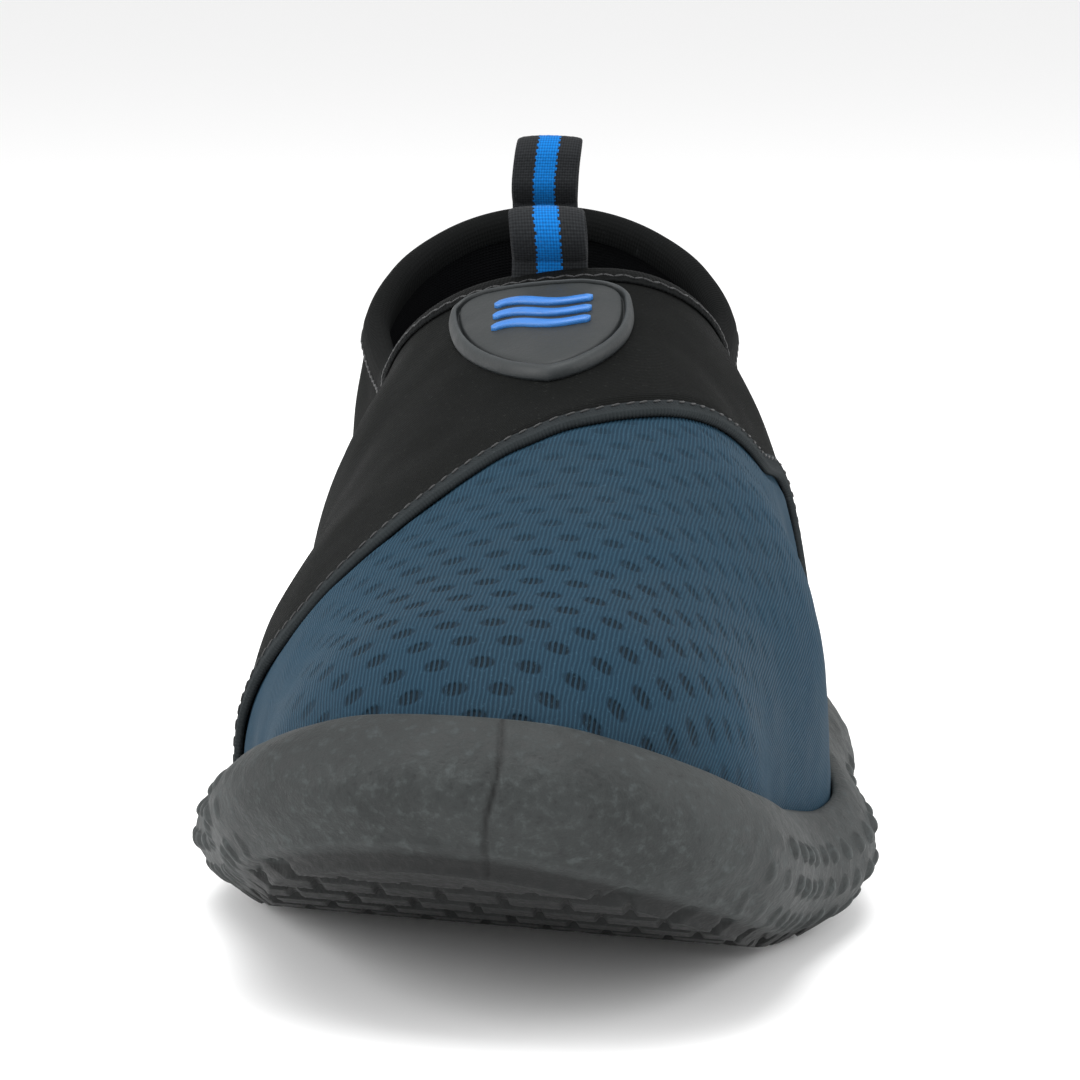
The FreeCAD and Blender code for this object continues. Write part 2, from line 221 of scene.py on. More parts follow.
def leave(at, shape, offset=0.0):
    """The points at(t) where t, an array of the given shape, leaves the form grown by offset."""
    low, high = np.zeros(shape), np.full(shape, REACH)
    for _ in range(HALVINGS):
        middle = (low + high) / 2
        within = form_distance(at(middle)) < offset
        low = np.where(within, middle, low)
        high = np.where(within, high, middle)
    return at(low)


def cast(origin, target, offset=0.0):
    """Points where the rays from origin through target meet the form grown by offset."""
    ray = unit(target - origin)
    return leave(lambda t: origin + ray * t[..., None], ray.shape[:-1], offset)


def snap(p, offset):
    """Moves points that are near the form onto the form grown by offset."""
    for _ in range(3):
        p = p + form_normal(p) * (offset - form_distance(p))[..., None]
    return p


def even(points, count, closed=False):
    """count points evenly spaced along a polyline."""
    if closed:
        points = np.concatenate([points, points[:1]])
    length = run_along(points)
    where = np.linspace(0, length[-1], count + 1)[:-1] if closed else np.linspace(0, length[-1], count)
    return np.stack([np.interp(where, length, points[:, k]) for k in range(3)], -1)


# ---- smooth noise, the same every run ----


def wobble(p, size, seed, count=14):
    """Soft noise in -1..1 made of plane waves of about the given wavelength."""
    rng = np.random.default_rng(seed)
    total = np.zeros(p.shape[:-1])
    for _ in range(count):
        direction = unit(rng.normal(size=3))
        rate = 2 * np.pi / (size * rng.uniform(0.7, 1.5))
        total += np.sin(p @ direction * rate + rng.uniform(0, 2 * np.pi))
    return total / math.sqrt(count)


# ---- boundary lines ----


TUCK = 3.0  # how far the upper goes down behind the sole's rim


def rim_height(x, y):
    """Height of the sole's rim."""
    return along(SOLE_RIM, y + RIM_SKEW * x)


def tucked_height(x, y):
    """Height of the upper's lower edge, behind the sole's rim."""
    return rim_height(x, y) - TUCK


def collar_height(x, y):
    return along(COLLAR, y + COLLAR_SKEW * x)


def seam_line():
    """The vamp seam on the form, from the outer side over the instep to the inner."""
    angle = np.radians(np.linspace(200, -20, 500))
    centre_x, centre_z = 3.0, 26.0

    def at(t):
        x = centre_x + t * np.cos(angle)
        return np.stack([x, along(SEAM, x), centre_z + t * np.sin(angle)], -1)

    line = leave(at, angle.shape)
    line = line[line[:, 2] >= tucked_height(line[:, 0], line[:, 1])]
    return even(line, SEAM_COLUMNS)


def line_round(angle, centre, narrow, height):
    """Points on the form at height(x, y), in plan directions from centre."""
    ray = np.stack([narrow * np.cos(angle), np.sin(angle)], -1)

    def at(t):
        xy = np.array(centre) + ray * t[..., None]
        return np.column_stack([xy, height(xy[:, 0], xy[:, 1])])

    return leave(at, angle.shape)


def collar_line(count):
    """The collar edge on the form, from the heel round the outer side and back."""
    angle = np.radians(np.linspace(90, 450, 1500, endpoint=False))
    return even(line_round(angle, (-3.0, 66.0), 0.5, collar_height), count, closed=True)


# ---- mesh builders ----


def add_object(name, data):
    obj = bpy.data.objects.new(name, data)
    bpy.context.scene.collection.objects.link(obj)
    return obj


def add_mesh(name, points, faces, fabric=None):
    """A smooth mesh object from points in millimetres, with cloth coordinates if given."""
    mesh = bpy.data.meshes.new(name)
    mesh.from_pydata((points.reshape(-1, 3) * MM).tolist(), [], faces)
    if fabric is not None:
        layer = mesh.attributes.new("fabric", "FLOAT_VECTOR", "POINT")
        layer.data.foreach_set("vector", np.ascontiguousarray(fabric, np.float32).ravel())
    mesh.polygons.foreach_set("use_smooth", [True] * len(mesh.polygons))
    mesh.update()
    return add_object(name, mesh)


def add_solid(name, points, faces, fabric):
    """A closed mesh object whose faces all point outwards."""
    obj = add_mesh(name, points, faces, fabric)
    work = bmesh.new()
    work.from_mesh(obj.data)
    bmesh.ops.recalc_face_normals(work, faces=work.faces)
    work.to_mesh(obj.data)
    work.free()
    return obj


def grid_faces(rows, columns, wrap_rows=False, wrap_columns=False):
    """Quads of a grid of points stored row by row."""
    r = np.arange(rows if wrap_rows else rows - 1)[:, None]
    c = np.arange(columns if wrap_columns else columns - 1)[None, :]
    r2, c2 = (r + 1) % rows, (c + 1) % columns
    quads = np.stack([r * columns + c, r * columns + c2, r2 * columns + c2, r2 * columns + c], -1)
    return quads.reshape(-1, 4).tolist()


def shell(name, outer, inner, fabric):
    """A closed sheet of cloth between two grids of the same size.

    The inner face has 1 as its third cloth coordinate, so that a lining can differ.
    """
    rows, columns = outer.shape[:2]
    size = rows * columns
    index = np.arange(size).reshape(rows, columns)
    border = np.concatenate([index[:-1, 0], index[-1, :-1], index[:0:-1, -1], index[0, :0:-1]])
    ahead = np.roll(border, -1)
    quads = np.array(grid_faces(rows, columns))
    edge = np.stack([ahead, border, border + size, ahead + size], -1)
    points = np.concatenate([outer.reshape(-1, 3), inner.reshape(-1, 3)])
    cloth = np.concatenate([fabric.reshape(-1, 3), fabric.reshape(-1, 3) + (0, 0, 1)])
    faces = np.concatenate([quads, quads[:, ::-1] + size, edge]).tolist()
    return add_solid(name, points, faces, cloth)


def planar(a, b):
    """Points with a and b as their first two coordinates, and 0 as the third."""
    a, b = np.broadcast_arrays(a, b)
    return np.stack([a, b, np.zeros(a.shape)], -1)


def run_along(points):
    """Length from the first point to each, down the first axis."""
    steps = np.linalg.norm(np.diff(points, axis=0, prepend=points[:1]), axis=-1)
    return np.cumsum(steps, axis=0)


def joined(pieces):
    """Points and faces of several (points, faces) pieces as one."""
    points, faces, start = [], [], 0
    for own_points, own_faces in pieces:
        points.append(own_points)
        faces += [[k + start for k in face] for face in own_faces]
        start += len(own_points)
    return np.concatenate(points), faces


def tube_faces(grid):
    """Faces of a row of closed sections, with a cap at each end."""
    rows, columns = grid.shape[:2]
    first = list(range(columns))
    last = [k + (rows - 1) * columns for k in first]
    return [*grid_faces(rows, columns, wrap_columns=True), first[::-1], last]


def pointed_tube_faces(rows, columns):
    """As tube_faces, but the ends close on two more points: the last row's, then the first's."""
    faces = grid_faces(rows, columns, wrap_columns=True)
    top = rows * columns
    for k in range(columns):
        ahead = (k + 1) % columns
        faces += [(top, top - columns + k, top - columns + ahead), (top + 1, ahead, k)]
    return faces


# ---- upper: vamp, backing and quarters ----

DIMPLE_ACROSS = 6.7
DIMPLE_ALONG = 4.6
DIMPLE_HALF = (2.0, 1.15)
DIMPLE_DEPTH = 0.16
CLOTH_SHEAR = 0.15  # how far the rows of dimples drop per length towards the inner side


def fan_origin(target):
    """Points inside the shoe from which rays reach the form near each target."""
    x, y, z = target[..., 0], target[..., 1], target[..., 2]
    return np.stack([0.35 * x + 1.0, np.clip(y, -90, 94), 20 + 0.3 * (z - 20)], -1)


def patch(first, last, rows):
    """A grid on the form between two lines that have the same number of points."""
    q = np.linspace(0, 1, rows)[None, :, None]
    chord = first[:, None] * (1 - q) + last[:, None] * q
    return cast(fan_origin(chord), chord)


# Where a laid sheet is measured: stations along the shoe, and angles in degrees at each.
STATION_STEP = 2.0
STATIONS = np.arange(-134, 61, STATION_STEP)
STATION_ANGLES = np.arange(-25, 206)
TOP_ANGLE = 115  # index of straight up


def section_centre(y):
    """Points inside the shoe that its cross sections are measured round."""
    return np.stack([along(INSTEP_SIDE, y), y, 24.0 + np.maximum(-100 - y, 0) * 0.4], -1)


def sheet_coordinates(p):
    """Lengths across (from the instep line) and along the form, as for a laid sheet."""
    y, angle = np.meshgrid(STATIONS, np.radians(STATION_ANGLES), indexing="ij")
    centre = section_centre(y)
    section = cast(centre, centre + np.stack([np.cos(angle), np.zeros(y.shape), np.sin(angle)], -1))
    arc = run_along(section.swapaxes(0, 1)).T
    arc = arc[:, TOP_ANGLE, None] - arc
    away = p - section_centre(p[..., 1])
    turn = np.degrees(np.arctan2(away[..., 2], away[..., 0]))
    turn = np.where(turn < -90, turn + 360, turn)
    row = np.clip((p[..., 1] - STATIONS[0]) / STATION_STEP, 0, len(STATIONS) - 1.001)
    column = np.clip(turn - STATION_ANGLES[0], 0, len(STATION_ANGLES) - 1.001)
    i, j = row.astype(int), column.astype(int)
    u, v = row - i, column - j
    before = arc[i, j] * (1 - v) + arc[i, j + 1] * v
    after = arc[i + 1, j] * (1 - v) + arc[i + 1, j + 1] * v
    across = before * (1 - u) + after * u
    forward = np.interp(p[..., 1], STATIONS, run_along(section[:, TOP_ANGLE])) + CLOTH_SHEAR * across
    return planar(across, forward)


def dimples(cloth):
    """0..1 pattern of staggered oval dimples over cloth coordinates."""
    a, b = cloth[..., 0] / DIMPLE_ACROSS, cloth[..., 1] / DIMPLE_ALONG
    row = np.floor(b)
    ca = (a + 0.5 * (row % 2)) % 1 - 0.5
    cb = b - row - 0.5
    reach = np.hypot(ca * DIMPLE_ACROSS / DIMPLE_HALF[0], cb * DIMPLE_ALONG / DIMPLE_HALF[1])
    return smooth_step(1.25, 0.55, reach)


def bearing(point, centre, narrow=1.0):
    """Plan angle of a point from centre, for rays squeezed sideways by narrow."""
    return math.atan2(point[1] - centre[1], (point[0] - centre[0]) / narrow)


def thinned(count):
    """Every fourth index below count, and the last."""
    return np.append(np.arange(0, count - 3, 4), count - 1)


def make_vamp(seam):
    """The mesh over the toes, and its backing as a coarser grid of the same sheet."""
    centre, clear = (2.0, -60.0), 0.03
    start = bearing(seam[0], centre) + clear
    stop = bearing(seam[-1], centre) + 2 * math.pi - clear
    rim = even(line_round(np.linspace(start, stop, 900), centre, 1.0, tucked_height), SEAM_COLUMNS)
    grid = patch(rim, seam, VAMP_ROWS)
    cloth = sheet_coordinates(grid)
    normal = form_normal(grid)
    to_seam = np.linalg.norm(grid - grid[:, -1:], axis=-1)
    pinch = 0.55 * smooth_step(3.2, 0.6, to_seam)
    fade = smooth_step(50, 26, np.abs(cloth[..., 0])) * smooth_step(1.5, 5.0, to_seam)
    depth = DIMPLE_DEPTH * dimples(cloth) * fade + pinch
    lift = 0.22 * wobble(grid, 34.0, 3) + 0.05 * wobble(grid, 7.0, 4)
    outer = grid + normal * (lift * (1 - pinch) - depth)[..., None]
    vamp = shell("vamp_mesh_cloth", outer, grid - normal * MESH, cloth)
    keep = np.ix_(thinned(SEAM_COLUMNS), thinned(VAMP_ROWS))
    under = grid[keep] - normal[keep] * (MESH + GAP)
    lining = grid[keep] - normal[keep] * NEOPRENE
    return vamp, shell("vamp_backing_neoprene", under, lining, cloth[keep])


def split_collar(collar):
    """Where the collar line passes the front quarter on its outer and inner sides."""
    half = len(collar) // 2
    outer = int(np.argmin(np.abs(collar[:half, 1] - 28.0)))
    inner = half + int(np.argmin(np.abs(collar[half:, 1] - 30.0)))
    return outer, inner


def make_quarters(seam, collar):
    """The sheet round the heel, from the seam and the sole's rim up to the collar."""
    centre, narrow, split = (-1.5, 40.0), 0.5, 0.0012

    def side(start, stop):
        angle = np.linspace(start, stop, 700)
        return even(line_round(angle, centre, narrow, tucked_height), SIDE_COLUMNS)

    outer_side = side(math.pi / 2 + split, bearing(seam[0], centre, narrow) + 2 * math.pi)
    inner_side = side(bearing(seam[-1], centre, narrow), math.pi / 2 - split)
    foot = np.concatenate([outer_side[:-1], seam, inner_side[1:]])
    i, j = split_collar(collar)
    closed = np.concatenate([collar, collar[:1]])
    top = np.concatenate([
        even(closed[: i + 1], SIDE_COLUMNS)[:-1],
        even(closed[i : j + 1], SEAM_COLUMNS),
        even(closed[j:], SIDE_COLUMNS)[1:],
    ])
    grid = patch(foot, top, QUARTER_ROWS)
    normal = form_normal(grid)
    cloth = planar(run_along(grid), run_along(grid[len(grid) // 2]))
    to_top = np.linalg.norm(grid - grid[:, -1:], axis=-1)
    to_foot = np.linalg.norm(grid - grid[:, :1], axis=-1)
    columns = np.arange(len(foot))
    at_seam = (columns >= SIDE_COLUMNS - 1) & (columns < SIDE_COLUMNS + SEAM_COLUMNS - 1)
    near_seam = np.where(at_seam[:, None], smooth_step(6.5, 3.2, to_foot), 0.0)
    swell = smooth_step(0, 14, to_top) * (1 - near_seam)
    lift = swell * (0.30 * wobble(grid, 46.0, 8) + 0.10 * wobble(grid, 15.0, 9)) - 0.35 * near_seam
    outer = grid + normal * lift[..., None]
    return shell("neoprene_quarters_cloth", outer, grid - normal * NEOPRENE, cloth)


# ---- bands and stitches laid on the upper ----


def frames(line, closed=False):
    """Tangent, surface normal and sideways unit vectors along a line on the form."""
    ahead = np.roll(line, -1, axis=0) - np.roll(line, 1, axis=0) if closed else np.gradient(line, axis=0)
    tangent, normal = unit(ahead), form_normal(line)
    return tangent, normal, unit(np.cross(normal, tangent))


def capsule(length, radius, sides=7, rings=7):
    """Points and faces of a short rounded thread along X."""
    turn = np.linspace(0, 2 * np.pi, sides, endpoint=False)
    t = np.linspace(-1, 1, rings)
    fat = np.sqrt(np.maximum(1 - np.abs(t) ** 3.2, 0)) * radius
    middle = zip(t[1:-1] * length / 2, fat[1:-1])
    points = [(x, r * math.cos(a), r * math.sin(a)) for x, r in middle for a in turn]
    points += [(length / 2, 0, 0), (-length / 2, 0, 0)]
    return np.array(points), pointed_tube_faces(rings - 2, sides)


def stitches(name, centres, directions, normals, length, radius):
    """Rounded threads at centres, as one piece."""
    points, faces = capsule(length, radius)
    places = zip(centres, directions, np.cross(normals, directions), normals)
    points, faces = joined([(centre + points @ np.stack(axes), faces) for centre, *axes in places])
    return add_solid(name, points, faces, points * 9)


TAPE_SECTION = (
    (-0.55, -0.30), (-0.62, 0.25), (-0.45, 0.75), (0.0, 0.98), (0.7, 0.80), (1.5, 0.76),
    (2.3, 0.86), (2.75, 0.72), (2.9, 0.3), (2.8, -0.25), (1.5, -0.05), (0.3, -0.05),
)


def make_seam_tape(seam):
    """The tape swept along the seam, and the threads along its upper edge."""
    line = even(seam, TAPE_POINTS)
    tangent, normal, sideways = frames(line)
    section = np.array(TAPE_SECTION)
    grid = snap(line[:, None] + sideways[:, None] * section[None, :, :1], section[None, :, 1])
    cloth = planar(run_along(line)[:, None], section @ (1.0, 0.5))
    tape = add_solid("vamp_seam_tape_knit", grid, tube_faces(grid), cloth)
    every = np.linspace(12, TAPE_POINTS - 12, 78).astype(int)
    centres = snap(line[every] + sideways[every] * 2.05, 0.88)
    slant = unit(tangent[every] + sideways[every] * 0.28)
    return tape, stitches("vamp_seam_thread", centres, slant, normal[every], 1.9, 0.2)


BINDING_SECTION = (
    (-3.7, 1.72), (-3.6, 2.15), (-3.1, 2.42), (-2.0, 2.50), (-0.8, 2.52), (0.3, 2.30),
    (1.2, 1.70), (1.75, 0.85), (1.9, 0.0), (1.75, -0.85), (1.2, -1.70), (0.3, -2.30),
    (-0.8, -2.55), (-2.2, -2.55), (-3.4, -2.40), (-3.7, -1.72), (-2.0, -1.68), (0.1, -1.62),
    (0.1, 1.62), (-2.0, 1.66),
)


def make_binding(collar):
    """The rolled band over the collar edge, and the zigzag threads below it."""
    tangent, normal, up = frames(collar, closed=True)
    up = up * np.sign(up @ (0, 0.25, 1.0))[:, None]
    middle = collar - normal * NEOPRENE / 2
    section = np.array(BINDING_SECTION)
    grid = middle[:, None] + up[:, None] * section[None, :, :1] + normal[:, None] * section[None, :, 1:]
    ripple = 0.07 * np.sin(np.arange(len(collar)) * 2 * np.pi / 7)
    outside = smooth_step(1.6, 2.2, section[:, 1]) * smooth_step(-1.5, -3.0, section[:, 0])
    grid = grid + normal[:, None] * (ripple[:, None] * outside)[..., None]
    rows, columns = grid.shape[:2]
    faces = grid_faces(rows, columns, wrap_rows=True, wrap_columns=True)
    step = np.linalg.norm(collar[1] - collar[0])
    cloth = planar(np.arange(rows)[:, None] * step, run_along(section))
    band = add_solid("collar_binding_knit", grid, faces, cloth)
    every = np.arange(3, rows - 3, 5)
    zigzag = 0.4 * (-1.0) ** np.arange(len(every))[:, None]
    base = middle[every] + up[every] * -2.75 + normal[every] * 2.47
    slant = unit(tangent[every] + up[every] * zigzag)
    return band, stitches("collar_binding_thread", base, slant, normal[every], 2.0, 0.18)


HEEL_TAPE_TOP = 88.0
HEEL_TAPE_HALF = 6.0


def make_heel_tape(top):
    """The tape over the heel seam, from the sole's rim up to the binding, and its threads."""

    def at_back(x, z, offset=0.0):
        origin = np.stack([HEEL[0] + x, np.full(x.shape, 80.0), z], -1)
        return cast(origin, origin + (0.0, 1.0, 0.0), offset)

    z, x = np.meshgrid(np.linspace(33.5, top, 70), HEEL_TAPE_HALF * np.linspace(-1, 1, 25), indexing="ij")
    face = at_back(x, z)
    normal = form_normal(face)
    raised = 0.35 + 0.6 * smooth_step(HEEL_TAPE_HALF, HEEL_TAPE_HALF - 0.8, np.abs(x))
    cloth = planar(z, HEEL[0] + x)
    tape = shell("heel_seam_tape_knit", face + normal * raised[..., None], face + normal * 0.03, cloth)
    z, x = np.meshgrid(np.arange(38.0, top - 1, 2.6), (-4.9, 4.9))
    centres = at_back(x.ravel(), z.ravel(), 0.98)
    normal = form_normal(centres)
    upward = unit((0.0, 0.0, 1.0) - normal * normal[:, 2:])
    return tape, stitches("heel_seam_thread", centres, upward, normal, 1.9, 0.25)


# ---- outsole ----


def stadium(count):
    """Ray origins on the sole's middle line and outward plan directions, all round."""
    front, back, middle = -88.0, 95.0, -1.0
    straight = np.linspace(back, front, 200, endpoint=False)
    step = (back - front) / 200
    y = np.concatenate([straight, np.full(160, front), straight[::-1] + step, np.full(160, back)])
    angle = math.pi * np.interp(np.arange(len(y)), (0, 200, 360, 560, 720), (1, 1, 2, 2, 3))
    origin = np.column_stack([np.full(len(y), middle), y])
    probe = wall_points(origin, angle, np.array([0.4]))[:, 0]
    length = run_along(np.concatenate([probe, probe[:1]]))
    where = np.linspace(0, length[-1], count, endpoint=False)
    around = np.column_stack([origin, angle])
    closed = np.concatenate([around, around[:1] + (0.0, 0.0, 2 * math.pi)])
    out = np.stack([np.interp(where, length, closed[:, k]) for k in range(3)], -1)
    return out[:, :2], out[:, 2], where


def sole_wall(t):
    """How far the wall stands out from the form at height fraction t of the rim."""
    below = ((WALL_BELLY_AT - t) / WALL_BELLY_AT) ** 2
    above = ((t - WALL_BELLY_AT) / (1 - WALL_BELLY_AT)) ** 2
    low = WALL_BELLY - (WALL_BELLY - WALL_AT_GROUND) * below
    high = WALL_BELLY - (WALL_BELLY - WALL_AT_RIM) * above
    return np.where(t < WALL_BELLY_AT, low, high)


def wall_points(origin, angle, t, offset=None, lift=0.0):
    """Grid of points on the sole's wall: a row per ray, a column per height fraction.

    They stand out from the form by offset, or by the wall's own shape without one.
    """
    ray = np.stack([np.cos(angle), np.sin(angle)], -1)[:, None]
    t = np.broadcast_to(t, (len(origin), np.shape(t)[-1]))

    def at(r):
        xy = origin[:, None] + ray * r[..., None]
        foot = ground(xy)
        z = foot + t * (rim_height(xy[..., 0], xy[..., 1]) - foot) + lift
        return np.concatenate([xy, z[..., None]], -1)

    return leave(at, t.shape, sole_wall(t) if offset is None else offset)


NUB_ACROSS = 6.8
NUB_UP = 5.2
NUB_SIZE = (1.15, 1.7)
NUB_HEIGHT = 1.0
LIP_AT = 3.0  # height of the toe's lower lip over the ground face


def nub_pattern(run, height, y):
    """Raised ovals in staggered rows low on the walls, none round the toe's front."""
    rows = np.floor(height / NUB_UP)
    shifted = run / NUB_ACROSS + 0.5 * (rows % 2)
    column = np.floor(shifted)
    mixed = np.sin(column * 12.9898 + rows * 78.233) * 43758.5453
    chance = mixed - np.floor(mixed)
    du = (shifted - column - 0.5) * NUB_ACROSS / NUB_SIZE[0]
    dv = (height - (rows + 0.5) * NUB_UP) / NUB_SIZE[1]
    oval = np.clip(1 - du**2 - dv**2, 0, 1) ** 0.6
    strong = smooth_step(-116, -102, y) * smooth_step(3, -12, y)
    band = strong * (rows >= 0) * (rows <= 2)
    sparse = smooth_step(-124, -112, y) * (chance > 0.55) * (rows <= 1) * 0.5
    rear = smooth_step(30, 50, y) * smooth_step(132, 118, y) * (rows <= 1) * 0.8
    return oval * np.maximum(np.maximum(band, sparse), rear) * (0.75 + 0.25 * chance)


def tread_depth(p):
    """Depth of the cross grooves at points on the ground face."""
    s = p[..., 1] + SKEW * p[..., 0]
    phase = (s - GROOVE_START + GROOVE_PITCH / 2) % GROOVE_PITCH - GROOVE_PITCH / 2
    inside = smooth_step(GROOVE / 2 + 0.35, GROOVE / 2 - 0.35, np.abs(phase))
    reach = smooth_step(GROOVE_START - 3, GROOVE_START - 2, s) * smooth_step(124, 122, s)
    block = np.abs((p[..., 0] + 4.5 + 4.5 * np.round((s - GROOVE_START) / GROOVE_PITCH - 0.5)) % 9.0 - 4.5)
    sipe = 0.5 * smooth_step(0.9, 0.4, block) * smooth_step(44, 40, np.abs(p[..., 0]))
    return GROOVE_DEPTH * np.maximum(inside, sipe) * reach


def crease_at(z):
    """Where the mould line on the toe runs, as x for each height."""
    return -1.6 + 0.10 * (z - 26) + 0.5 * np.sin(z / 3.1)


TOE_DISCS = ((12.5, 31.0), (5.0, 42.5), (9.0, 36.0), (24.0, 29.0), (27.5, 27.0))  # each x, z
RIM_OFFSETS = (1.35, 0.85, 0.35, 0.10)
RIM_LIFT = (0.30, 0.38, 0.25, -0.15)


def wall_relief(wall, run, height):
    """How far the moulded details stand out from the wall, and the mould line's strength."""
    x, y, z = wall[..., 0], wall[..., 1], wall[..., 2]
    nubs = NUB_HEIGHT * nub_pattern(run[:, None], height - 1.6, y)
    crease = np.exp(-(((x - crease_at(z)) / 0.4) ** 2)) * smooth_step(-112, -124, y)
    below = smooth_step(LIP_AT - 0.4, LIP_AT - 1.0, height)
    lip = (np.exp(-(((height - LIP_AT) / 0.55) ** 2)) - 1.6 * below) * smooth_step(-84, -104, y)
    grain = 0.10 * wobble(wall, 9.0, 21) + 0.06 * wobble(wall, 3.2, 22)
    discs = sum(smooth_step(1.5, 1.1, np.hypot(x - across, z - up)) for across, up in TOE_DISCS)
    discs = discs * smooth_step(-100, -110, y)
    return nubs + grain + 0.35 * lip + 0.2 * discs - 0.5 * crease, crease


def cover(edge, origin, inward, height, bumps=0.0):
    """Points from an edge towards the middle line, at a height over the ground face."""
    f = np.asarray(inward)[None, :, None]
    p = edge[:, None] * (1 - f) + planar(*origin.T)[:, None] * f
    p[..., 2] = ground(p) + height + (bumps * wobble(p, 12.0, 41) if bumps else 0)
    return p


def make_outsole():
    """The cup sole, as a grid from the tread's middle out, up the wall and down inside."""
    origin, angle, run = stadium(SOLE_COLUMNS)
    t = np.concatenate([np.linspace(0, 0.9, 62), np.linspace(0.915, 1.0, 8)])
    wall = wall_points(origin, angle, t)
    height = wall[..., 2] - ground(wall)
    relief, crease = wall_relief(wall, run, height)
    relief = relief * smooth_step(0, 0.04, t) * smooth_step(1.0, 0.97, t)
    cut = tread_depth(wall) * smooth_step(2.4, 1.2, height)
    out = planar(np.cos(angle), np.sin(angle))[:, None]
    wall = wall + (0.5 * out + 0.5 * form_normal(wall)) * relief[..., None]
    wall[..., 2] += cut

    # Over the rim, down behind the upper, and over the floor inside.
    rim = wall_points(origin, angle, np.ones(4), RIM_OFFSETS, RIM_LIFT)
    inner = wall_points(origin, angle, np.linspace(0.93, 0.35, 6), 0.08)
    floor = cover(inner[:, -1], origin, np.append(0, np.linspace(0.2, 0.9, 4)), SOLE_FLOOR)

    # The ground face, from the wall's foot to the middle line.
    foot = wall_points(origin, angle, np.zeros(1))[:, 0]
    tread = cover(foot, origin, np.concatenate([[0.012, 0.03], np.linspace(0.05, 0.97, 56)]), 0.0)
    tread[..., 2] += tread_depth(tread)
    grid = np.concatenate([tread[:, ::-1], wall, rim, inner, floor], axis=1)
    cloth = planar(run[:, None], grid[..., 2] - ground(grid))
    # The mould line's strength goes in as the third cloth coordinate, and the rubber uses it for painted
    # shade along the line.
    cloth[:, tread.shape[1] : tread.shape[1] + len(t), 2] = crease
    return closed_ring("outsole_rubber", grid, cloth)


def close_strip(loop, column, columns):
    """Triangles that zip the two sides of a long narrow loop together.

    The loop is one column of a grid that has the given number of columns.
    """
    top, bottom, count = int(np.argmax(loop[:, 1])), int(np.argmin(loop[:, 1])), len(loop)
    left = [(bottom - k) % count for k in range((bottom - top) % count + 1)]
    right = [(bottom + k) % count for k in range((top - bottom) % count + 1)]
    triangles = []
    i = j = 0
    while i < len(left) - 1 or j < len(right) - 1:
        right_done = j >= len(right) - 1
        if i < len(left) - 1 and (right_done or loop[left[i + 1], 1] <= loop[right[j + 1], 1]):
            triangles.append((left[i], left[i + 1], right[j]))
            i += 1
        else:
            triangles.append((right[j], right[j + 1], left[i]))
            j += 1
    return [[k * columns + column for k in corners] for corners in triangles if len(set(corners)) == 3]


def closed_ring(name, grid, cloth):
    """A closed piece from a grid that wraps round by rows, with its two end columns zipped shut."""
    rows, columns = grid.shape[:2]
    faces = grid_faces(rows, columns, wrap_rows=True)
    for column in (0, columns - 1):
        faces += close_strip(grid[:, column], column, columns)
    return add_solid(name, grid, faces, cloth)


# ---- badge and wave mark ----


def badge_outline(scale, count=160):
    """A sheared shield drawn flat: nearly straight on top and round below."""
    turn = np.linspace(0, 2 * np.pi, 1200, endpoint=False)
    c, sine = np.cos(turn), np.sin(turn)
    upper = sine > 0
    u = np.sign(c) * np.abs(c) ** np.where(upper, 0.5, 1.35) * BADGE_HALF_WIDTH
    v = np.sign(sine) * np.abs(sine) ** 0.87 * np.where(upper, BADGE_TOP, -BADGE_BOTTOM)
    v += BADGE_CORNER_LIFT * (u / BADGE_HALF_WIDTH) ** 2
    outline = planar(u + BADGE_SHEAR[0] * v, v + BADGE_SHEAR[1] * u)
    return even(outline, count, closed=True) * scale


def on_badge(flat, offset):
    """Flat badge drawing put on the instep: straight up from below onto the grown form."""
    c, s = math.cos(BADGE_TILT), math.sin(BADGE_TILT)
    placed = np.stack([flat[..., 0], flat[..., 1] * c, flat[..., 1] * s], -1) + BADGE_CENTRE
    up = np.array((0.0, -s, c))
    return cast(placed - up * 16, placed, offset)


BADGE_PROFILE = (
    (1.0, 0.30), (1.01, 0.8), (1.0, 1.5), (0.985, 2.1), (0.955, 2.35), (0.93, 2.25), (0.918, 1.9),
    (0.912, 1.2), (0.90, 1.05), (0.888, 1.2), (0.88, 1.75), (0.865, 1.9), (0.83, 1.95),
)
BADGE_FACE = 1.95  # height of the plate inside the rim
BADGE_BACK = 0.3


def make_badge():
    """A plate with a raised rounded rim and a groove, in rings from under its middle to the top."""
    rings = [(scale, BADGE_BACK) for scale in (0.1, 0.3, 0.5, 0.7, 0.9)]
    rings += [*BADGE_PROFILE, *((scale, BADGE_FACE) for scale in (0.7, 0.6, 0.5, 0.4, 0.3, 0.2, 0.1))]
    grid = np.stack([on_badge(badge_outline(scale), height) for scale, height in rings])
    grid += 0.03 * wobble(grid, 4.0, 31)[..., None] * form_normal(grid)
    ends = [on_badge(np.zeros((1, 3)), height) for height in (BADGE_FACE, BADGE_BACK)]
    points = np.concatenate([grid.reshape(-1, 3), *ends])
    return add_solid("badge_rubber", points, pointed_tube_faces(*grid.shape[:2]), points)


WAVE_SECTION = (
    (-1.0, -0.2), (-0.98, 0.45), (-0.8, 0.65), (0.0, 0.7), (0.8, 0.65), (0.98, 0.45), (1.0, -0.2),
)


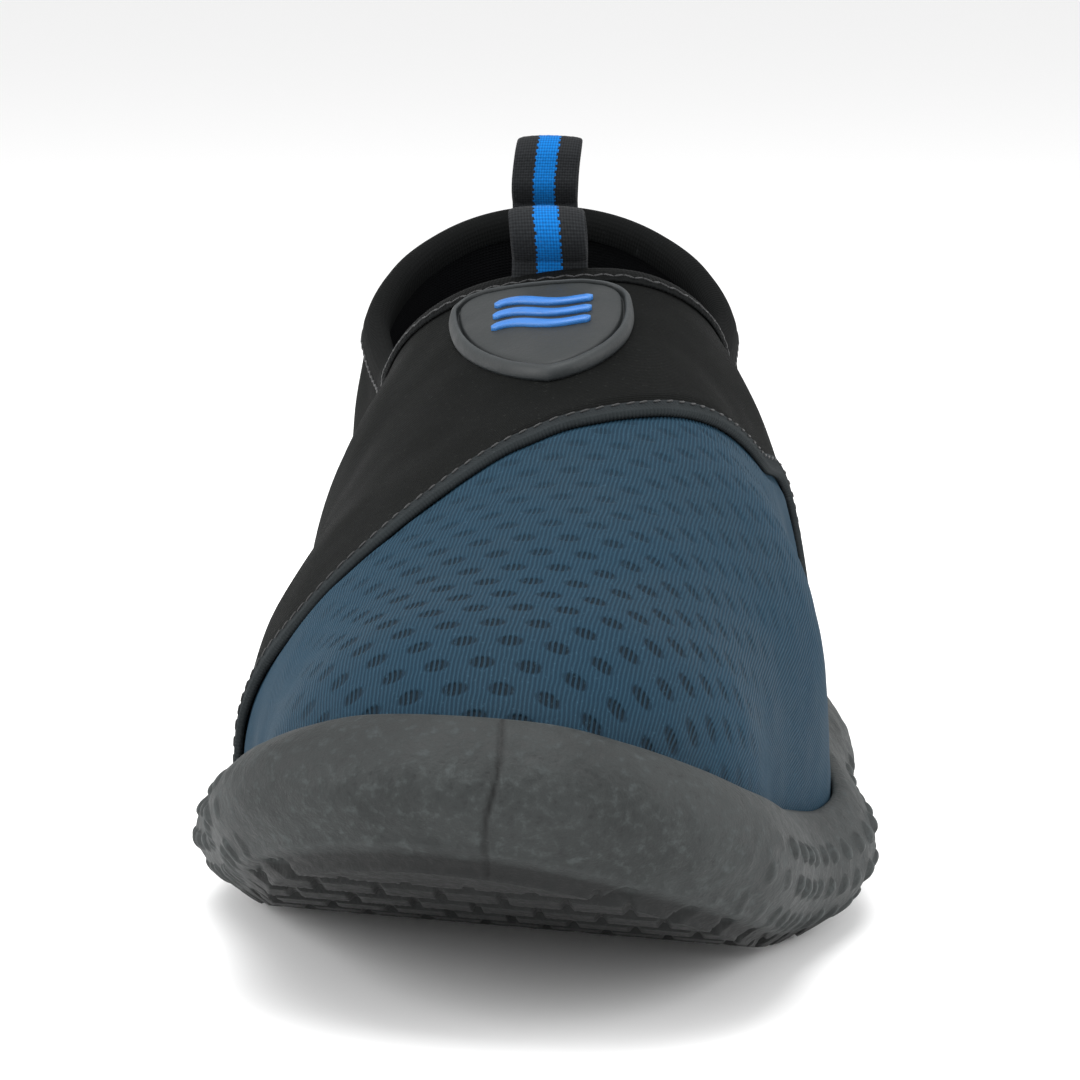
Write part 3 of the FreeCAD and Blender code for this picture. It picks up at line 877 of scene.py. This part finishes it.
def make_badge_mark():
    """Three raised wave strokes."""
    strokes = []
    u = np.linspace(0, 1, 60)
    taper = 0.88 * np.sqrt(np.clip(np.minimum(u, 1 - u) / 0.05, 0.05, 1))
    for low in (-0.2, -4.2, -8.2):
        x = -8.2 + 16.4 * u - BADGE_SHEAR[0] * 4
        y = low + 1.1 * np.sin(u * 2 * np.pi + 0.6) + BADGE_SHEAR[1] * x
        spine = planar(x, y)
        direction = unit(np.gradient(spine, axis=0))
        across = planar(-direction[:, 1], direction[:, 0]) * taper[:, None]
        rows = [on_badge(spine + across * side, BADGE_FACE + height) for side, height in WAVE_SECTION]
        grid = np.stack(rows, axis=1)
        strokes.append((grid.reshape(-1, 3), tube_faces(grid)))
    points, faces = joined(strokes)
    return add_solid("badge_wave_mark", points, faces, points)


# ---- webbing pull tabs ----


TAB_TAIL = 4.2  # how far the ends of a strap go down into the upper
TAB_ROOT_HALF = 0.52 * WEBBING  # from a tab's middle plane to each of its sewn ends
TAB_SWELL_HEIGHT = 4.6  # where a loop reaches its full opening


def tab_path(height):
    """The side view of a strap folded into a drop-shaped loop, from one sewn end to the other."""
    half = TAB_GAP / 2 + WEBBING / 2
    rise = height - half - WEBBING / 2
    side = np.linspace(0, 1, 26)
    swell = np.sin(np.minimum(side * rise / TAB_SWELL_HEIGHT, 1.0) * np.pi / 2) ** 0.8
    up = np.column_stack([half * swell * (0.9 + 0.1 * side) + TAB_ROOT_HALF * (1 - side), rise * side])
    turn = np.linspace(0, np.pi, 26)[1:-1]
    arc = np.column_stack([half * np.cos(turn), rise + half * np.sin(turn)])
    tail = np.column_stack([np.full(5, TAB_ROOT_HALF), np.linspace(-TAB_TAIL, -0.4, 5)])
    path = np.concatenate([tail, up, arc, (up * (-1, 1))[::-1], (tail * (-1, 1))[::-1]])
    return even(planar(*path.T), 150)[:, :2]


def make_tab(name, root, height, seed, lean):
    """A woven strap along a loop, a little wavy, bowed across and leaning to one side."""
    path = tab_path(height)
    along_path = run_along(path)
    tangent = unit(np.gradient(path, axis=0))
    outside = np.column_stack([tangent[:, 1], -tangent[:, 0]])
    across = np.linspace(-0.5, 0.5, 53) * WEBBING_WIDTH
    edge = np.abs(across) / (WEBBING_WIDTH / 2)
    thin = WEBBING / 2 * np.sqrt(np.clip(1 - edge**10, 0.02, 1))
    weave = np.sin(across * np.pi / 0.8)[None, :] * np.sin(along_path * np.pi / 0.75)[:, None]
    relief = 0.09 * weave + 0.08 * np.sin(across / 2.1 + seed)[None, :]
    bow = 0.35 * (across / (WEBBING_WIDTH / 2)) ** 2
    layers = []
    for sign in (1, -1):
        reach = sign * (thin[None, :] + relief * 0.5) - 0.02
        y = path[:, :1] + outside[:, :1] * reach
        z = path[:, 1:] + outside[:, 1:] * reach - bow[None, :] * smooth_step(2, height, path[:, 1:])
        sway = lean * np.clip(z, 0, None) ** 2 / height**2
        x = np.broadcast_to(across[None, :], y.shape) + 0.12 * np.sin(along_path / 3.7 + seed)[:, None]
        layers.append(np.stack([x + root[0] + sway, y + root[1], z + root[2]], -1))
    return shell(name, *layers, planar(across[None, :], along_path[:, None]))


# ---- inside ----


LAYER_INSET = NEOPRENE + 0.2  # from the form to the layers under the foot


def slab(name, low, high, rounding):
    """A flat-edged layer inside the shoe between two heights over the ground face."""
    origin, angle, _ = stadium(360)
    ray = np.stack([np.cos(angle), np.sin(angle)], -1)
    profile = (
        (low, 0.15), (low + rounding * 0.3, 0.0), (high - rounding, 0.0),
        (high - rounding * 0.35, 0.35 * rounding), (high, rounding),
    )

    def ring(height, margin):
        def at(r):
            xy = origin + ray * r[:, None]
            return np.column_stack([xy, ground(xy) + height])

        return leave(at, angle.shape, -LAYER_INSET - margin)

    sides = np.stack([ring(height, margin) for height, margin in profile], axis=1)
    bottom = cover(sides[:, 0], origin, np.linspace(0.97, 0.1, 8), low)
    top = cover(sides[:, -1], origin, np.linspace(0.05, 0.97, 24), high, 0.12)
    grid = np.concatenate([bottom, sides, top], axis=1)
    return closed_ring(name, grid, grid * (1, 1, 0))


# ---- materials ----


class Fabric:
    """A node graph for one material, with short helpers for the nodes used here."""

    def __init__(self, name):
        self.material = bpy.data.materials.new(name)
        self.material.use_nodes = True
        self.tree = self.material.node_tree
        self.tree.nodes.clear()
        output = self.node("ShaderNodeOutputMaterial")
        self.surface = self.node("ShaderNodeBsdfPrincipled")
        self.link(self.surface.outputs[0], output.inputs["Surface"])
        self.cloth = self.node("ShaderNodeAttribute", attribute_name="fabric").outputs["Vector"]
        self.place = self.node("ShaderNodeTexCoord").outputs["Object"]

    def node(self, kind, **settings):
        made = self.tree.nodes.new(kind)
        for key, value in settings.items():
            setattr(made, key, value)
        return made

    def link(self, source, target):
        self.tree.links.new(source, target)

    def put(self, target, value):
        """Feeds an input from another node's output, an 8-bit screen colour or a number."""
        if hasattr(value, "is_output"):
            self.link(value, target)
        else:
            target.default_value = colour(*value) if isinstance(value, tuple) else value

    def set(self, **values):
        """Sets the surface shader's inputs, named with underscores, and gives the material."""
        for key, value in values.items():
            self.put(self.surface.inputs[key.replace("_", " ")], value)
        return self.material

    def math(self, operation, *values):
        made = self.node("ShaderNodeMath", operation=operation)
        for socket, value in zip(made.inputs, values):
            self.put(socket, value)
        return made.outputs[0]

    def times(self, first, second):
        return self.math("MULTIPLY", first, second)

    def ramp(self, value, low, high, to_low=0.0, to_high=1.0):
        made = self.node("ShaderNodeMapRange", interpolation_type="SMOOTHSTEP")
        for socket, setting in zip(made.inputs[:5], (value, low, high, to_low, to_high)):
            self.put(socket, setting)
        return made.outputs[0]

    def mix(self, factor, first, second):
        made = self.node("ShaderNodeMix", data_type="RGBA")
        self.put(made.inputs[0], factor)
        self.put(made.inputs[6], first)
        self.put(made.inputs[7], second)
        return made.outputs[2]

    def noise(self, scale, detail=3.0, roughness=0.55):
        made = self.node("ShaderNodeTexNoise")
        self.link(self.place, made.inputs["Vector"])
        for key, value in (("Scale", scale), ("Detail", detail), ("Roughness", roughness)):
            made.inputs[key].default_value = value
        return made.outputs["Fac"]

    def axes(self):
        """The three cloth coordinates."""
        made = self.node("ShaderNodeSeparateXYZ")
        self.link(self.cloth, made.inputs[0])
        return made.outputs

    def wave(self, value, pitch):
        """A 0..1 wave with the given pitch along a length in millimetres."""
        turn = self.times(value, 2 * math.pi / pitch)
        return self.math("MULTIPLY_ADD", self.math("SINE", turn), 0.5, 0.5)

    def bump(self, height, distance, below=None):
        """A normal from a height pattern whose relief is given in millimetres."""
        made = self.node("ShaderNodeBump")
        made.inputs["Distance"].default_value = distance * MM
        self.put(made.inputs["Height"], height)
        if below is not None:
            self.link(below, made.inputs["Normal"])
        return made.outputs[0]

    def worn(self, base, amount, tone, low=0.52, high=0.6):
        """The base colour with raised edges rubbed towards a tone."""
        pointed = self.node("ShaderNodeNewGeometry").outputs["Pointiness"]
        return self.mix(self.times(self.ramp(pointed, low, high), amount), base, tone)


def colour(red, green, blue):
    """Linear colour of an 8-bit screen colour."""
    levels = [c / 255 for c in (red, green, blue)]
    linear = [c / 12.92 if c <= 0.04045 else ((c + 0.055) / 1.055) ** 2.4 for c in levels]
    return (*linear, 1.0)


def mesh_fabric():
    """Spacer mesh: fine ribs along the shoe, with slits in staggered dimples."""
    m = Fabric("spacer_mesh")
    a, b, _ = m.axes()
    a = m.math("MULTIPLY_ADD", m.noise(260, 1), 0.5, a)
    ribs = m.wave(a, 0.66)
    slits = m.wave(a, 0.82)
    row = m.math("FLOOR", m.math("DIVIDE", b, DIMPLE_ALONG))
    stagger = m.times(m.math("FLOORED_MODULO", row, 2.0), 0.5)
    column = m.math("ADD", m.math("DIVIDE", a, DIMPLE_ACROSS), stagger)
    cell_a = m.math("SUBTRACT", m.math("FRACT", column), 0.5)
    cell_b = m.math("SUBTRACT", m.math("SUBTRACT", m.math("DIVIDE", b, DIMPLE_ALONG), row), 0.5)
    reach_a = m.times(cell_a, DIMPLE_ACROSS / DIMPLE_HALF[0])
    reach_b = m.times(cell_b, DIMPLE_ALONG / DIMPLE_HALF[1])
    squares = m.math("ADD", m.math("POWER", reach_a, 2.0), m.math("POWER", reach_b, 2.0))
    dimple = m.ramp(m.math("SQRT", squares), 1.15, 0.7)
    near_middle = m.ramp(m.math("ABSOLUTE", a), 52.0, 22.0, 0.12, 1.0)
    near_toe = m.ramp(b, 80.0, 40.0, 0.35, 1.0)
    dimple = m.times(dimple, m.times(near_middle, near_toe))
    slit = m.times(dimple, m.ramp(slits, 0.6, 0.25))
    blotch = m.noise(55, 3)
    base = m.mix(blotch, (12, 30, 42), (19, 40, 55))
    base = m.mix(m.times(ribs, 0.42), base, (40, 70, 86))
    # Painted shade: the dimples are darkened for the shade in their hollows. The slits are painted near
    # black as openings onto the black backing, in shade.
    base = m.mix(m.times(dimple, 0.25), base, (6, 20, 31))
    base = m.mix(m.times(slit, 0.75), base, (2, 8, 14))
    speck = m.noise(1900, 2)
    base = m.mix(m.ramp(speck, 0.6, 0.78, 0.0, 0.22), base, (66, 98, 116))
    relief = m.math("SUBTRACT", ribs, m.times(slit, 1.6))
    return m.set(
        Base_Color=base, Roughness=m.ramp(blotch, 0.3, 0.7, 0.66, 0.8), Sheen_Weight=0.05,
        Sheen_Roughness=0.3, Sheen_Tint=(90, 150, 185), Normal=m.bump(relief, 0.16),
        Specular_IOR_Level=0.1,
    )


def neoprene():
    """Knit-faced neoprene: fine ribs, flecks and a soft bloom."""
    m = Fabric("knit_neoprene")
    a, b, inside = m.axes()
    ribs = m.wave(b, 0.55)
    courses = m.wave(a, 0.75)
    blotch = m.noise(70, 4)
    fleck = m.noise(1500, 2)
    base = m.mix(blotch, (6, 7, 7), (10, 11, 10))
    base = m.mix(m.times(m.times(ribs, courses), 0.3), base, (24, 26, 25))
    base = m.mix(m.ramp(fleck, 0.62, 0.76, 0.0, 0.3), base, (52, 54, 52))
    # The inner face is painted blacker than the outer: a black lining, darkened further as painted shade
    # inside the shoe.
    base = m.mix(m.math("GREATER_THAN", inside, 0.5), base, m.mix(fleck, (1, 1, 2), (4, 5, 6)))
    relief = m.math("MULTIPLY_ADD", m.times(ribs, courses), 0.8, m.times(fleck, 0.5))
    return m.set(
        Base_Color=base, Roughness=m.ramp(blotch, 0.3, 0.7, 0.78, 0.9),
        Sheen_Weight=m.times(m.math("SUBTRACT", 1.0, inside), 0.02), Sheen_Roughness=0.4,
        Sheen_Tint=(150, 152, 152), Normal=m.bump(relief, 0.16), Specular_IOR_Level=0.06,
    )


def knit_tape(name, dark, light, lint, pitch):
    """Ribbed tape and binding knit, with lint on it and along its worn edges."""
    m = Fabric(name)
    a, b, _ = m.axes()
    ribs = m.wave(a, pitch)
    rows = m.wave(b, pitch * 1.2)
    blotch = m.noise(140, 3)
    fuzz = m.noise(2200, 2)
    base = m.mix(blotch, dark, light)
    base = m.mix(m.times(ribs, 0.3), base, light)
    base = m.mix(m.ramp(fuzz, 0.6, 0.8, 0.0, 0.25), base, lint)
    base = m.worn(base, 0.25, lint)
    relief = m.math("MULTIPLY_ADD", ribs, 0.7, m.times(rows, 0.4))
    return m.set(
        Base_Color=base, Roughness=0.85, Sheen_Weight=0.03, Sheen_Roughness=0.4,
        Sheen_Tint=lint, Normal=m.bump(relief, 0.1), Specular_IOR_Level=0.08,
    )


def thread():
    m = Fabric("twisted_thread")
    a, b, c = m.axes()
    twist = m.wave(m.math("ADD", m.math("ADD", a, b), c), 2.6)
    base = m.mix(twist, (8, 9, 10), (26, 28, 30))
    return m.set(Base_Color=base, Roughness=0.6, Sheen_Weight=0.08, Normal=m.bump(twist, 0.05))


def sole_rubber():
    """Moulded rubber: mottled, dusty low down, rubbed along raised edges, with painted shade on the ground
    face and along the mould line.
    """
    m = Fabric("moulded_rubber")
    _, height, crease = m.axes()
    cloud = m.noise(45, 4, roughness=0.6)
    mottle = m.noise(620, 5, roughness=0.65)
    grain = m.noise(1300, 3)
    base = m.mix(m.ramp(cloud, 0.35, 0.65), (28, 31, 31), (38, 41, 41))
    base = m.mix(m.ramp(mottle, 0.5, 0.75, 0.0, 0.35), base, (64, 70, 72))
    base = m.mix(m.ramp(mottle, 0.48, 0.28, 0.0, 0.6), base, (14, 16, 17))
    dust = m.times(m.ramp(height, 26.0, 4.0), m.ramp(mottle, 0.45, 0.7))
    base = m.mix(m.times(dust, 0.12), base, (92, 96, 93))
    base = m.worn(base, 0.3, (84, 90, 90), 0.51, 0.57)
    # Painted shade: the ground face, and the wall below 2.6 mm over it, are mixed towards near black for
    # the shade under the sole.
    base = m.mix(m.ramp(height, 2.6, 1.8, 0.0, 0.85), base, (8, 9, 9))
    # Painted shade: the mould line is mixed towards near black for the shade in its groove.
    base = m.mix(m.times(crease, 0.8), base, (8, 9, 9))
    fine = m.bump(grain, 0.12)
    relief = m.bump(m.math("MULTIPLY_ADD", mottle, 0.8, cloud), 0.3, below=fine)
    return m.set(
        Base_Color=base, Roughness=m.ramp(mottle, 0.3, 0.7, 0.55, 0.75), Normal=relief,
        Specular_IOR_Level=0.25,
    )


def badge_rubber():
    m = Fabric("badge_rubber")
    cloud = m.noise(120, 4)
    grain = m.noise(1400, 3)
    base = m.mix(cloud, (22, 25, 26), (29, 33, 34))
    base = m.worn(base, 0.35, (62, 67, 70))
    return m.set(
        Base_Color=base, Roughness=m.ramp(cloud, 0.3, 0.7, 0.48, 0.64),
        Normal=m.bump(grain, 0.06), Specular_IOR_Level=0.32,
    )


def blue_rubber():
    m = Fabric("blue_rubber")
    cloud = m.noise(300, 4)
    base = m.mix(cloud, (12, 76, 140), (22, 94, 164))
    base = m.worn(base, 0.3, (70, 130, 190))
    roughness = m.ramp(cloud, 0.3, 0.7, 0.4, 0.55)
    return m.set(Base_Color=base, Roughness=roughness, Normal=m.bump(m.noise(1600), 0.05))


def webbing():
    """Woven strap, charcoal with a blue stripe down the middle that has stepped edges."""
    m = Fabric("woven_webbing")
    a, b, _ = m.axes()
    picks = m.math("FLOOR", m.math("DIVIDE", b, 0.55))
    steps = m.math("FLOORED_MODULO", picks, 2.0)
    stray = m.noise(900, 0)
    edge = m.math("ADD", m.math("MULTIPLY_ADD", steps, 0.3, 1.7), m.times(stray, 0.4))
    stripe = m.math("LESS_THAN", m.math("ABSOLUTE", a), edge)
    ends = m.wave(a, 0.5)
    weft = m.wave(b, 0.55)
    weave = m.math("MULTIPLY_ADD", ends, 0.5, m.times(weft, 0.5))
    dark = m.mix(weave, (14, 15, 17), (33, 35, 37))
    blue = m.mix(weave, (0, 66, 122), (4, 104, 178))
    base = m.mix(stripe, dark, blue)
    fuzz = m.noise(2400, 2)
    base = m.mix(m.ramp(fuzz, 0.62, 0.8, 0.0, 0.14), base, (80, 88, 94))
    return m.set(
        Base_Color=base, Roughness=0.8, Sheen_Weight=0.02, Sheen_Roughness=0.4,
        Normal=m.bump(weave, 0.08), Specular_IOR_Level=0.12,
    )


def board_fibre():
    m = Fabric("board_fibre")
    fibre = m.noise(700, 5)
    base = m.mix(fibre, (92, 92, 88), (140, 140, 134))
    return m.set(Base_Color=base, Roughness=0.9, Normal=m.bump(fibre, 0.15))


def footbed_knit():
    m = Fabric("footbed_knit")
    a, b, _ = m.axes()
    ribs = m.wave(a, 1.1)
    rows = m.wave(b, 1.1)
    fuzz = m.noise(1500, 3)
    weave = m.times(ribs, rows)
    base = m.mix(weave, (12, 13, 15), (34, 36, 38))
    base = m.mix(m.ramp(fuzz, 0.6, 0.8, 0.0, 0.3), base, (70, 72, 74))
    return m.set(Base_Color=base, Roughness=0.9, Sheen_Weight=0.05, Normal=m.bump(weave, 0.15))


# ---- light, floor and camera ----


def aim(obj, position, target):
    direction = unit(np.array(target, float) - np.array(position, float))
    pitch = math.acos(-direction[2])
    turn = math.atan2(direction[1], direction[0]) - math.pi / 2
    obj.location = [c * MM for c in position]
    obj.rotation_euler = (pitch, 0.0, turn)


def add_light(name, position, target, width, height, watts):
    data = bpy.data.lights.new(name, "AREA")
    data.shape = "RECTANGLE"
    data.size, data.size_y = width * MM, height * MM
    data.energy = watts
    aim(add_object(name, data), position, target)


def add_studio():
    size = 60000.0
    corners = np.array([(x * size, y * size, -0.05) for x, y in ((-1, -1), (1, -1), (1, 1), (-1, 1))])
    floor = add_mesh("studio_floor", corners, [(0, 1, 2, 3)])
    paint = Fabric("floor_paint")
    paint.surface.inputs["Base Color"].default_value = (0.92, 0.92, 0.92, 1.0)
    floor.data.materials.append(paint.set(Roughness=0.9, Specular_IOR_Level=0.1))
    world = bpy.data.worlds.new("studio_world")
    world.use_nodes = True
    world.node_tree.nodes["Background"].inputs[0].default_value = (1.0, 1.0, 1.0, 1.0)
    world.node_tree.nodes["Background"].inputs[1].default_value = 0.95
    bpy.context.scene.world = world
    middle = (0, 0, 45)
    add_light("key_above", (-60, -180, 900), middle, 700, 700, 9.0)
    add_light("flank_right", (760, -220, 330), middle, 420, 620, 4.5)
    add_light("flank_left", (-760, -260, 330), middle, 420, 620, 5.0)
    bpy.context.scene.view_settings.view_transform = "Standard"


def add_camera():
    azimuth, elevation = math.radians(3.5), math.radians(10.0)
    target = np.array((-2.0, 0.0, 50.5))
    level = math.cos(elevation)
    away = np.array((math.sin(azimuth) * level, -math.cos(azimuth) * level, math.sin(elevation)))
    data = bpy.data.cameras.new("photo_camera")
    data.lens, data.sensor_width = 140.0, 36.0
    data.clip_start, data.clip_end = 0.01, 200.0
    camera = add_object("photo_camera", data)
    aim(camera, target + away * 700.0, target)
    bpy.context.scene.camera = camera


# ---- assembly ----


def dress(obj, body, slot, material, *nodes):
    """Gives a piece its material and body, and hides the CAD nodes it stands for. The slot is not used."""
    obj.data.materials.append(material)
    if body:
        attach(obj, body)
    if nodes:
        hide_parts(*nodes)


def main():
    seam = seam_line()
    collar = collar_line(COLLAR_POINTS)
    black_thread = thread()
    seam_knit = knit_tape("seam_knit", (20, 23, 24), (34, 38, 40), (70, 75, 77), 0.62)
    edge_knit = knit_tape("edge_knit", (3, 4, 4), (8, 9, 9), (34, 36, 37), 0.7)

    vamp, backing = make_vamp(seam)
    quarters = make_quarters(seam, collar)
    knit = neoprene()
    dress(vamp, "shoe", "mesh", mesh_fabric(), "vamp_mesh")
    dress(backing, "shoe", "neoprene", knit, "vamp_backing")
    dress(quarters, "shoe", "neoprene", knit, "neoprene_quarters")

    tape, tape_thread = make_seam_tape(seam)
    dress(tape, "shoe", "tape", seam_knit, "vamp_seam_tape")
    dress(tape_thread, "shoe", "thread", black_thread, "vamp_seam_stitches")
    binding, binding_thread = make_binding(collar)
    dress(binding, "shoe", "tape", edge_knit, "collar_binding")
    dress(binding_thread, "shoe", "thread", black_thread)
    heel_tape, heel_thread = make_heel_tape(HEEL_TAPE_TOP)
    dress(heel_tape, "shoe", "tape", edge_knit, "heel_seam_tape")
    dress(heel_thread, "shoe", "thread", black_thread)

    dress(make_outsole(), "shoe", "sole_rubber", sole_rubber(), "outsole")
    dress(make_badge(), "shoe", "badge_rubber", badge_rubber(), "badge")
    dress(make_badge_mark(), "shoe", "blue_rubber", blue_rubber(), "badge_mark")

    strap = webbing()
    front = make_tab("front_pull_tab_webbing", FRONT_TAB, FRONT_TAB_HEIGHT, 1.0, -0.5)
    rear = make_tab("rear_pull_tab_webbing", REAR_TAB, REAR_TAB_HEIGHT, 2.4, 0.9)
    dress(front, None, "webbing", strap, "front_pull_tab")
    dress(rear, None, "webbing", strap, "rear_pull_tab")
    for tab, body, root in ((front, "front_tab", FRONT_TAB), (rear, "rear_tab", REAR_TAB)):
        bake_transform(tab)

    board_low = SOLE_FLOOR + GAP
    bed_low = board_low + BOARD + GAP
    board = slab("insole_board_fibre", board_low, board_low + BOARD, 0.3)
    bed = slab("footbed_foam", bed_low, bed_low + FOOTBED, 1.2)
    dress(board, "shoe", "board", board_fibre(), "insole_board")
    dress(bed, "shoe", "footbed", footbed_knit(), "footbed")

    add_studio()
    add_camera()


main()
